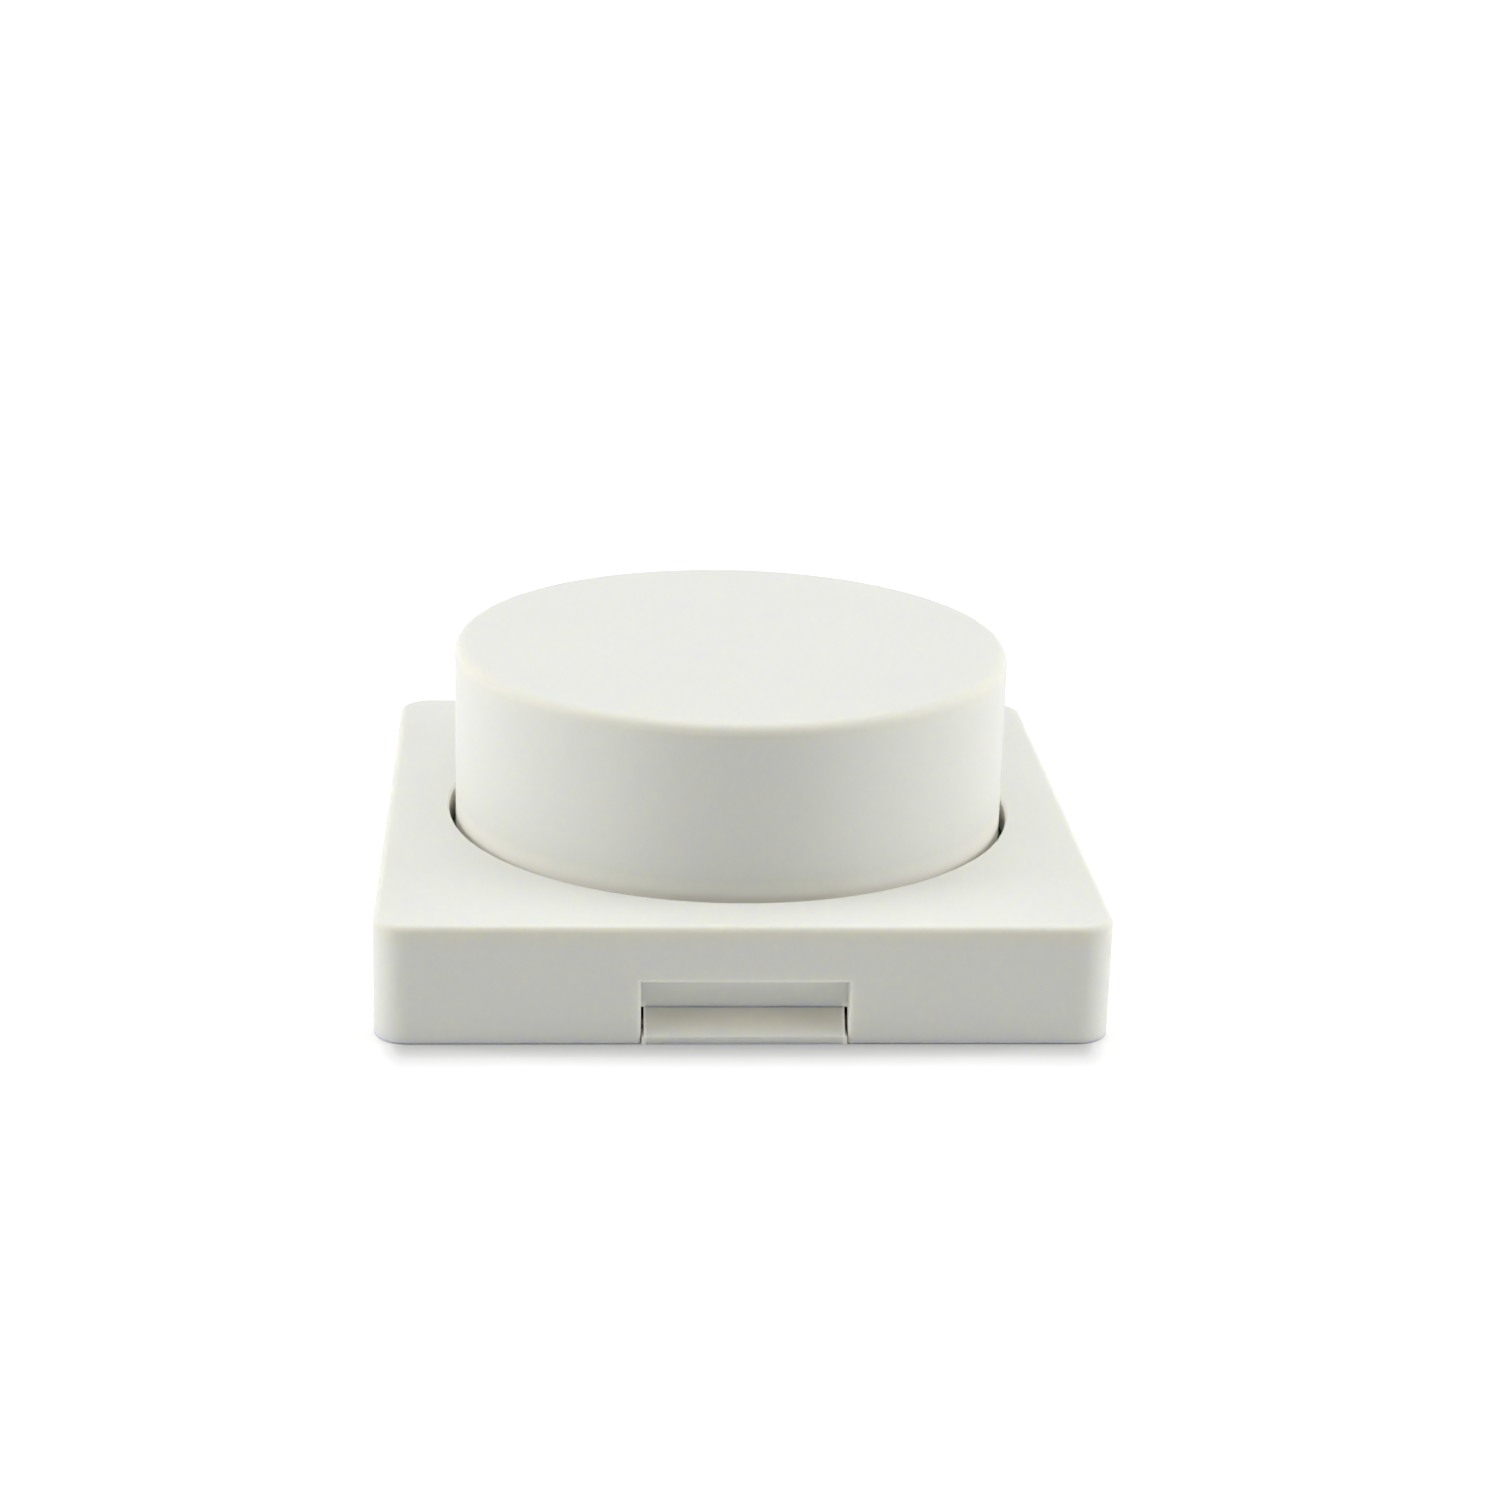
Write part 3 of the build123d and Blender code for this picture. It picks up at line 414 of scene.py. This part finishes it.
def capacitor_case(name, colour, stripe_colour, stripe_start):
    """Moulded capacitor: filled resin with a darker polarity stripe at one end."""
    nodes = filled_plastic(name, colour, speck=scaled(colour, 1.35), roughness=0.5)
    base = nodes.shader.inputs["Base Color"].links[0].from_socket
    ragged = nodes.math("MULTIPLY", nodes.noise(0.1 * MM), 0.06 * MM)
    place = nodes.math("ADD", nodes.axes()["Y"], ragged)
    stripe = nodes.rise(place, stripe_start, stripe_start + SOFT_EDGE)
    nodes.colour(nodes.mix(stripe, base, stripe_colour))
    return nodes


def chip_ceramic(name, colour, first_middle, pitch, body_half):
    """Fired chip bodies with tinned ends. They repeat along X, from the first middle."""
    nodes = Nodes(name)
    grain = nodes.noise(0.08 * MM, detail=3.0)
    body = nodes.tint(grain, scaled(colour, 0.82), colour)
    offset = nodes.math("SUBTRACT", nodes.axes()["X"], first_middle)
    from_middle = nodes.math("PINGPONG", offset, pitch / 2)
    ends = nodes.rise(from_middle, body_half, body_half + SOFT_EDGE)
    tin = nodes.tint(grain, dark=(0.62, 0.62, 0.6), light=(0.78, 0.78, 0.76))
    nodes.colour(nodes.mix(ends, body, tin))
    nodes.link(ends, nodes.shader.inputs["Metallic"])
    nodes.rough(ends, low=0.5, high=0.32, start=0.0, end=1.0)
    nodes.bump(grain, depth=0.004 * MM)
    return nodes


# A board's artwork. Vias are in shares of their spacing, from a hole's middle.
TRACKS_IN_PATCH = 5
TRACK_EDGE = (0.7, 0.78)
POUR_START = 0.55
VIA_HOLE = (0.045, 0.055)
VIA_RING = (0.05, 0.06, 0.1, 0.11)
CLOTH_PITCH = 0.36 * MM


def solder_mask(name, colour, track_pitch, via_spacing):
    """Laminate under solder mask: tracks, pours and via rings show paler through it, and
    glass cloth prints through."""
    nodes = Nodes(name)
    turn, fill = nodes.patches(TRACKS_IN_PATCH * track_pitch)
    along = nodes.math("GREATER_THAN", turn, 0.5)
    tracks_x = nodes.rise(nodes.bands(track_pitch, "X"), *TRACK_EDGE)
    tracks_y = nodes.rise(nodes.bands(track_pitch, "Y"), *TRACK_EDGE)
    tracks = nodes.math(
        "ADD",
        nodes.math("MULTIPLY", tracks_x, along),
        nodes.math("MULTIPLY", tracks_y, nodes.math("SUBTRACT", 1.0, along)),
    )
    copper = nodes.math("MAXIMUM", tracks, nodes.math("GREATER_THAN", fill, POUR_START))
    holes = nodes.dots(via_spacing)
    copper = nodes.math("MAXIMUM", copper, nodes.band(holes, *VIA_RING))
    bare = nodes.tint(nodes.noise(1.5 * MM, detail=3.0), scaled(colour, 0.75), colour)
    over_copper = tuple(channel * 1.7 + 0.008 for channel in colour)
    mask = nodes.mix(copper, bare, over_copper)
    # Painted shade: the via holes are dark dots, with no hole in the board under them.
    painted_hole_shade = nodes.fall(holes, *VIA_HOLE)
    nodes.colour(nodes.mix(painted_hole_shade, mask, scaled(colour, 0.3)))
    nodes.rough(nodes.noise(0.7 * MM, detail=3.0), low=0.22, high=0.34)
    weave = (nodes.bands(CLOTH_PITCH, "X"), nodes.bands(CLOTH_PITCH, "Y"))
    nodes.bump(copper, depth=0.03 * MM)
    nodes.bump(nodes.math("MULTIPLY", *weave), depth=0.003 * MM)
    nodes.constant(Coat_Weight=0.3, Coat_Roughness=0.15)
    return nodes


# --- Metals ---
def sheet_metal(name, colour, roughness, grain):
    """Rolled and plated sheet: streaks along the axis that grain stretches least, with
    broad mottling in the plating and fine handling marks."""
    nodes = Nodes(name)
    streaks = nodes.noise(0.5 * MM, detail=5.0, vector=nodes.stretched(grain))
    clouds = nodes.noise(1.2 * MM, detail=3.0)
    mixed = nodes.mean(streaks, clouds)
    nodes.colour(nodes.tint(mixed, scaled(colour, 0.88), colour, MEAN_START, MEAN_END))
    handled = nodes.noise(0.9 * MM, detail=5.0, vector=nodes.stretched((5, 1, 3)))
    marks = nodes.remap(handled, low=0.0, high=0.1, start=0.6, end=0.7)
    limits = (roughness - ROUGH_SPREAD, roughness + ROUGH_SPREAD, MEAN_START, MEAN_END)
    rough = nodes.math("ADD", nodes.remap(mixed, *limits), marks)
    nodes.link(rough, nodes.shader.inputs["Roughness"])
    nodes.bump(streaks, depth=0.002 * MM)
    nodes.constant(Metallic=1.0)
    return nodes


def turned_metal(name, colour, roughness, pitch, depth, tone=0.9):
    """Lathe work: fine tool marks round the knob's axis, over slower ones. tone is how
    dark the darkest marks are."""
    nodes = Nodes(name)
    fine = nodes.noise(pitch, vector=nodes.turned())
    slow = nodes.noise(pitch * 6, vector=nodes.turned())
    mixed = nodes.mean(fine, slow)
    nodes.colour(nodes.tint(mixed, scaled(colour, tone), colour, MEAN_START, MEAN_END))
    nodes.rough(mixed, roughness - 0.05, roughness + 0.07, MEAN_START, MEAN_END)
    nodes.bump(fine, depth)
    nodes.constant(Metallic=1.0)
    return nodes


def cast_metal(name, colour):
    """Die-cast skin: small grains, flow marks and a dull, uneven shine."""
    nodes = Nodes(name)
    flow = nodes.noise(1.1 * MM, detail=4.0, vector=nodes.stretched((1, 1, 2.5)))
    nodes.colour(nodes.tint(flow, scaled(colour, 0.82), scaled(colour, 1.05)))
    nodes.rough(flow, low=0.38, high=0.54)
    nodes.bump(nodes.cells(0.18 * MM), depth=0.004 * MM)
    nodes.bump(nodes.noise(0.06 * MM, detail=3.0), depth=0.001 * MM)
    nodes.constant(Metallic=1.0)
    return nodes


def contact_sheet(name, colour):
    """Plated contact sheet: bright rings where the fingers run, and dull in between."""
    nodes = Nodes(name)
    rings = nodes.noise(0.07 * MM, vector=nodes.turned())
    base = nodes.tint(nodes.noise(0.9 * MM, detail=4.0), scaled(colour, 0.82), colour)
    rubbed = nodes.remap(rings, low=0.0, high=0.5)
    nodes.colour(nodes.mix(rubbed, base, scaled(colour, 1.12)))
    nodes.rough(rings, low=0.34, high=0.2)
    nodes.bump(rings, depth=0.001 * MM)
    nodes.constant(Metallic=1.0)
    return nodes


def tinned_leads(name, colour, solder_foot, solder_top):
    """Dipped tin: soft frosty grains, and smooth bright solder at the foot."""
    nodes = Nodes(name)
    frost = nodes.noise(0.25 * MM, detail=4.0)
    solder = nodes.fall(nodes.axes()["Z"], solder_foot, solder_top)
    base = nodes.tint(frost, scaled(colour, 0.84), colour)
    nodes.colour(nodes.mix(solder, base, scaled(colour, 1.08)))
    dull = nodes.remap(frost, low=0.3, high=0.44)
    shine = nodes.math("MULTIPLY", solder, 0.16)
    nodes.link(nodes.math("SUBTRACT", dull, shine), nodes.shader.inputs["Roughness"])
    nodes.bump(frost, depth=0.004 * MM)
    nodes.constant(Metallic=1.0)
    return nodes


def zinc_screws(name, colour, thread_start, pitch):
    """Zinc plating with a faint blue and straw cast, and rolled thread ridges."""
    nodes = Nodes(name)
    blue = (colour[0] * 0.93, colour[1] * 0.97, colour[2] * 1.05)
    straw = (colour[0] * 1.04, colour[1], colour[2] * 0.88)
    nodes.colour(nodes.tint(nodes.noise(0.7 * MM), blue, straw, start=0.35, end=0.65))
    nodes.rough(nodes.noise(0.2 * MM, detail=4.0), low=0.24, high=0.38)
    shank = nodes.rise(nodes.axes()["Z"], thread_start, thread_start + 0.1 * MM)
    nodes.bump(nodes.math("MULTIPLY", nodes.bands(pitch, "Z"), shank), depth=0.08 * MM)
    nodes.constant(Metallic=1.0)
    return nodes


def coin_cell_can(name, colour, gasket_inner, gasket_outer, gasket_floor):
    """Plated can, spun finish on its faces, with the dark gasket round the cap."""
    nodes = turned_metal(
        name, colour, roughness=0.24, pitch=0.11 * MM, depth=0.0012 * MM, tone=0.93
    )
    can = nodes.shader.inputs["Base Color"].links[0].from_socket
    radius = nodes.radius()
    inner = nodes.rise(radius, gasket_inner, gasket_inner + SOFT_EDGE)
    outer = nodes.fall(radius, gasket_outer - SOFT_EDGE, gasket_outer)
    above = nodes.rise(nodes.axes()["Z"], gasket_floor, gasket_floor + SOFT_EDGE)
    gasket = nodes.math("MULTIPLY", nodes.math("MULTIPLY", inner, outer), above)
    nodes.colour(nodes.mix(gasket, can, GASKET_COLOUR))
    nodes.link(nodes.math("SUBTRACT", 1.0, gasket), nodes.shader.inputs["Metallic"])
    return nodes


# --- Stage, light and camera ---
def sight_rays(tree):
    """1 for camera, glossy and transmission rays, and 0 for the light's own rays."""
    rays = tree.nodes.new("ShaderNodeLightPath").outputs
    bounced = add_math(tree, "MAXIMUM", rays["Is Glossy Ray"], rays["Is Transmission Ray"])
    return add_math(tree, "MAXIMUM", rays["Is Camera Ray"], bounced)


def make_world():
    """White to sight rays, and without light of its own."""
    world = bpy.data.worlds.new("studio")
    world.use_nodes = True
    background = world.node_tree.nodes["Background"]
    background.inputs["Color"].default_value = (1.0, 1.0, 1.0, 1.0)
    seen = sight_rays(world.node_tree)
    world.node_tree.links.new(seen, background.inputs["Strength"])
    bpy.context.scene.world = world


def distance_outside(tree, half_width):
    """How far a point of the floor is from the rounded square that the switch stands on.

    Sideways distances count SIDE_NARROWING times, from where the corners start.
    """
    place = tree.nodes.new("ShaderNodeTexCoord").outputs["Object"]
    axes = tree.nodes.new("ShaderNodeSeparateXYZ")
    tree.links.new(place, axes.inputs[0])
    squares = []
    for axis, factor in (("X", SIDE_NARROWING), ("Y", 1.0)):
        side = add_math(tree, "ABSOLUTE", axes.outputs[axis])
        beyond = add_math(tree, "SUBTRACT", side, half_width - FLOOR_CORNER)
        outside = add_math(tree, "MULTIPLY", beyond, factor)
        outside = add_math(tree, "MAXIMUM", outside, 0.0)
        squares.append(add_math(tree, "MULTIPLY", outside, outside))
    reach = add_math(tree, "SQRT", add_math(tree, "ADD", *squares))
    return add_math(tree, "SUBTRACT", reach, FLOOR_CORNER)


def floor_material():
    """White paper that keeps the shadow, with a painted shadow along the foot and a glow, which
    only sight rays see.
    """
    material = bpy.data.materials.new("studio_floor")
    material.use_nodes = True
    tree = material.node_tree
    shader = tree.nodes["Principled BSDF"]
    shader.inputs["Roughness"].default_value = 1.0
    shader.inputs["Specular IOR Level"].default_value = 0.0
    shader.inputs["Emission Color"].default_value = (1.0, 1.0, 1.0, 1.0)
    distance = distance_outside(tree, cad_high.x)
    seen = sight_rays(tree)
    # Painted shadow: sight rays see the paper darker near the switch's foot.
    pale = ramp(tree, distance, 0.0, FOOT_SHADE, FLOOR_SEEN, FLOOR_SEEN_IN_PAINTED_SHADOW)
    darker = add_math(tree, "MULTIPLY", seen, add_math(tree, "SUBTRACT", FLOOR_BOUNCE, pale))
    paper_with_painted_shadow = add_math(tree, "SUBTRACT", FLOOR_BOUNCE, darker)
    tree.links.new(paper_with_painted_shadow, shader.inputs["Base Color"])
    near = ramp(tree, distance, SHADOW_START, SHADOW_END, NEAR_GLOW)
    far = ramp(tree, distance, SHADOW_END, FAR_DISTANCE, FAR_GLOW)
    strength = add_math(tree, "MULTIPLY", add_math(tree, "ADD", near, far), seen)
    tree.links.new(strength, shader.inputs["Emission Strength"])
    return material


def make_floor():
    half = FLOOR_SIZE / 2
    height = cad_low.z - FLOOR_DROP
    corners = [(-half, -half), (half, -half), (half, half), (-half, half)]
    mesh = bpy.data.meshes.new("floor")
    mesh.from_pydata([(x, y, height) for x, y in corners], [], [(0, 1, 2, 3)])
    floor = bpy.data.objects.new("floor", mesh)
    mesh.materials.append(floor_material())
    bpy.context.scene.collection.objects.link(floor)


def make_softbox(name, azimuth, elevation, distance, size, power):
    """A square lamp that looks at the switch. Azimuth 0 is in front of it."""
    light = bpy.data.lights.new(name, "AREA")
    light.size = size
    light.energy = power
    lamp = bpy.data.objects.new(name, light)
    across = math.cos(elevation) * distance
    lamp.location = (
        math.sin(azimuth) * across,
        -math.cos(azimuth) * across,
        math.sin(elevation) * distance,
    )
    target = (cad_low + cad_high) / 2
    lamp.rotation_mode = "QUATERNION"
    lamp.rotation_quaternion = (target - lamp.location).to_track_quat("-Z", "Y")
    bpy.context.scene.collection.objects.link(lamp)
    return lamp


def make_softboxes():
    """One lamp above and one at each side. The side ones aren't mirrored, so that a low
    view keeps the colour of flat tops."""
    make_softbox("top_softbox", 0.0, math.pi / 2, SOFTBOX_HEIGHT, SOFTBOX_SIZE, SOFTBOX_POWER)
    for name, azimuth in (("left_softbox", -SIDE_AZIMUTH), ("right_softbox", SIDE_AZIMUTH)):
        side = (SIDE_ELEVATION, SIDE_DISTANCE, SIDE_SIZE, SIDE_POWER)
        lamp = make_softbox(name, azimuth, *side)
        lamp.visible_glossy = False


def make_camera():
    data = bpy.data.cameras.new("camera")
    data.sensor_width = CAMERA_SENSOR
    data.lens = CAMERA_LENS
    data.clip_start = CAMERA_CLIP
    camera = bpy.data.objects.new("camera", data)
    camera.location = (CAMERA_SIDE, -CAMERA_DISTANCE, CAMERA_HEIGHT)
    camera.rotation_mode = "QUATERNION"
    turn = Quaternion((0, 0, 1), -CAMERA_YAW)
    tip = Quaternion((1, 0, 0), math.pi / 2 - CAMERA_PITCH)
    roll = Quaternion((0, 0, 1), CAMERA_ROLL)
    camera.rotation_quaternion = turn @ tip @ roll
    bpy.context.scene.collection.objects.link(camera)
    bpy.context.scene.camera = camera


# --- Finishes, one for each material slot of the record ---
SHELL_COLOUR = (0.83, 0.838, 0.79)
# The cover's colour is a slightly warmer copy of the shell's, painting the warm shade in the
# tab's scoop.
COVER_COLOUR = (0.83, 0.834, 0.775)
SHELL_GLOW_DEPTH = 0.6 * MM
SHELL_GLOW_RADIUS = (1.0, 0.93, 0.45)
SHELL_POLISH = 0.08
# How much warmer the painted warm tint of the bands is than the moulding's colour.
SHELL_PAINTED_WARMTH = (1.0, 0.955, 0.86)
# Painted light: the walls of the narrow gaps get a paler, warmer colour than the moulding and
# no subsurface, so that the gaps look less dark, as if lit by light passing through the
# plastic.
GAP_PAINTED_LIGHT_COLOUR = (0.97, 0.95, 0.88)
GAP_FADE = 0.1 * MM
FOOT_FADE = 1.3 * MM
KNOB_GAP = 0.45 * MM
TAB_HALF_WIDTH = 6.4 * MM
TAB_GAP_TOP = 2.2 * MM
TAB_GAP_FADE = 0.3 * MM
NOTCH_HALF_WIDTH = 6.6 * MM
NOTCH_DEPTH = 1.3 * MM
NOTCH_BACK_FADE = 1.0 * MM

knob_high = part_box("knob_cap")[1]
knob_top = knob_high.z
opening_radius = knob_high.x + KNOB_GAP
housing_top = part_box("housing")[1].z
board_low, board_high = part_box("main_board")
chips_low, chips_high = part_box("chip_components")
capacitor_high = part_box("buffer_capacitor")[1]
cell_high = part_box("coin_cell")[1]

# Each band of painted warm tint and polish: its strength, and the heights where it starts, is
# full, fades and ends.
KNOB_RIM = (0.35, knob_top - 1.4 * MM, knob_top - 0.8 * MM, knob_top - 0.2 * MM, knob_top)
KNOB_FOOT = (
    0.5,
    housing_top - 1.0 * MM,
    housing_top - 0.5 * MM,
    housing_top + 0.3 * MM,
    housing_top + 1.6 * MM,
)
HOUSING_RIM = (
    0.45,
    housing_top - 1.6 * MM,
    housing_top - 0.7 * MM,
    housing_top - 0.2 * MM,
    housing_top,
)
TAB_SCOOP = (1.0, 0.5 * MM, 1.3 * MM, 2.0 * MM, 2.2 * MM)
CHIP_LENGTH = 1.6 * MM
CHIP_BODY_HALF = 0.5 * MM
SOLDER_HEIGHT = 0.3 * MM
STRIPE_WIDTH = 0.7 * MM
THREAD_PITCH = 0.45 * MM
GASKET_INNER = 8.6 * MM
GASKET_OUTER = 8.95 * MM
GASKET_DEPTH = 0.35 * MM
GASKET_COLOUR = (0.07, 0.075, 0.08)

FINISHES = {
    "housing_plastic": moulded_shell("housing_plastic_finish", SHELL_COLOUR, [HOUSING_RIM]),
    "knob_plastic": moulded_shell("knob_plastic_finish", SHELL_COLOUR, [KNOB_RIM, KNOB_FOOT]),
    "cover_plastic": moulded_shell("cover_plastic_finish", COVER_COLOUR, [TAB_SCOOP]),
    "spring_steel": sheet_metal(
        "spring_steel_finish", (0.66, 0.66, 0.64), roughness=0.27, grain=(1, 10, 10)
    ),
    "shaft_metal": turned_metal(
        "shaft_metal_finish",
        (0.72, 0.72, 0.73),
        roughness=0.28,
        pitch=0.09 * MM,
        depth=0.0015 * MM,
    ),
    "cast_metal": cast_metal("cast_metal_finish", (0.62, 0.62, 0.63)),
    "frame_steel": sheet_metal(
        "frame_steel_finish", (0.7, 0.7, 0.68), roughness=0.4, grain=(1, 5, 5)
    ),
    "black_plastic": filled_plastic(
        "black_plastic_finish", (0.05, 0.05, 0.05), speck=(0.11, 0.11, 0.105), roughness=0.46
    ),
    "rotor_plastic": natural_acetal("rotor_plastic_finish", (0.75, 0.72, 0.62)),
    "contact_metal": contact_sheet("contact_metal_finish", (0.8, 0.66, 0.38)),
    "lead_metal": tinned_leads(
        "lead_metal_finish",
        (0.74, 0.74, 0.72),
        solder_foot=board_high.z,
        solder_top=board_high.z + SOLDER_HEIGHT,
    ),
    "plunger_plastic": coloured_plastic("plunger_plastic_finish", (0.55, 0.1, 0.08)),
    "board_laminate": solder_mask(
        "board_laminate_finish", (0.013, 0.11, 0.05), track_pitch=0.8 * MM, via_spacing=3.5 * MM
    ),
    "screw_steel": zinc_screws(
        "screw_steel_finish", (0.7, 0.7, 0.7), thread_start=board_low.z, pitch=THREAD_PITCH
    ),
    "radio_laminate": solder_mask(
        "radio_laminate_finish", (0.012, 0.04, 0.13), track_pitch=0.4 * MM, via_spacing=1.6 * MM
    ),
    "chip_plastic": filled_plastic(
        "chip_plastic_finish",
        (0.06, 0.06, 0.065),
        speck=(0.13, 0.13, 0.13),
        roughness=0.55,
        speck_size=0.05 * MM,
    ),
    "shield_metal": sheet_metal(
        "shield_metal_finish", (0.72, 0.72, 0.71), roughness=0.32, grain=(7, 1, 7)
    ),
    "capacitor_plastic": capacitor_case(
        "capacitor_plastic_finish",
        (0.6, 0.42, 0.12),
        stripe_colour=(0.16, 0.1, 0.04),
        stripe_start=capacitor_high.y - STRIPE_WIDTH,
    ),
    "chip_ceramic": chip_ceramic(
        "chip_ceramic_finish",
        (0.55, 0.48, 0.38),
        first_middle=chips_low.x + CHIP_LENGTH / 2,
        pitch=chips_high.x - chips_low.x - CHIP_LENGTH,
        body_half=CHIP_BODY_HALF,
    ),
    "cell_metal": coin_cell_can(
        "cell_metal_finish",
        (0.74, 0.74, 0.73),
        gasket_inner=GASKET_INNER,
        gasket_outer=GASKET_OUTER,
        gasket_floor=cell_high.z - GASKET_DEPTH,
    ),
    "retainer_steel": sheet_metal(
        "retainer_steel_finish", (0.72, 0.72, 0.7), roughness=0.3, grain=(1, 9, 9)
    ),
}


def make_snap_dome():
    """The dome under the plunger, as a piece of its own carried by the base, with its own copy
    of the mesh.
    """
    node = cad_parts["switch_dome"]
    slot = node.data.materials[0].name
    dome = bpy.data.objects.new("snap_dome", node.data.copy())
    dome.data.materials[0] = FINISHES[slot].material
    bpy.context.scene.collection.objects.link(dome)
    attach(dome, "base")
    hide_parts("switch_dome")
    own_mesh(dome)


make_world()
make_floor()
make_softboxes()
make_camera()
make_snap_dome()

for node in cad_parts.values():
    mesh = node.data
    mesh.materials[0] = FINISHES[mesh.materials[0].name].material

bpy.context.scene.view_settings.view_transform = "Standard"
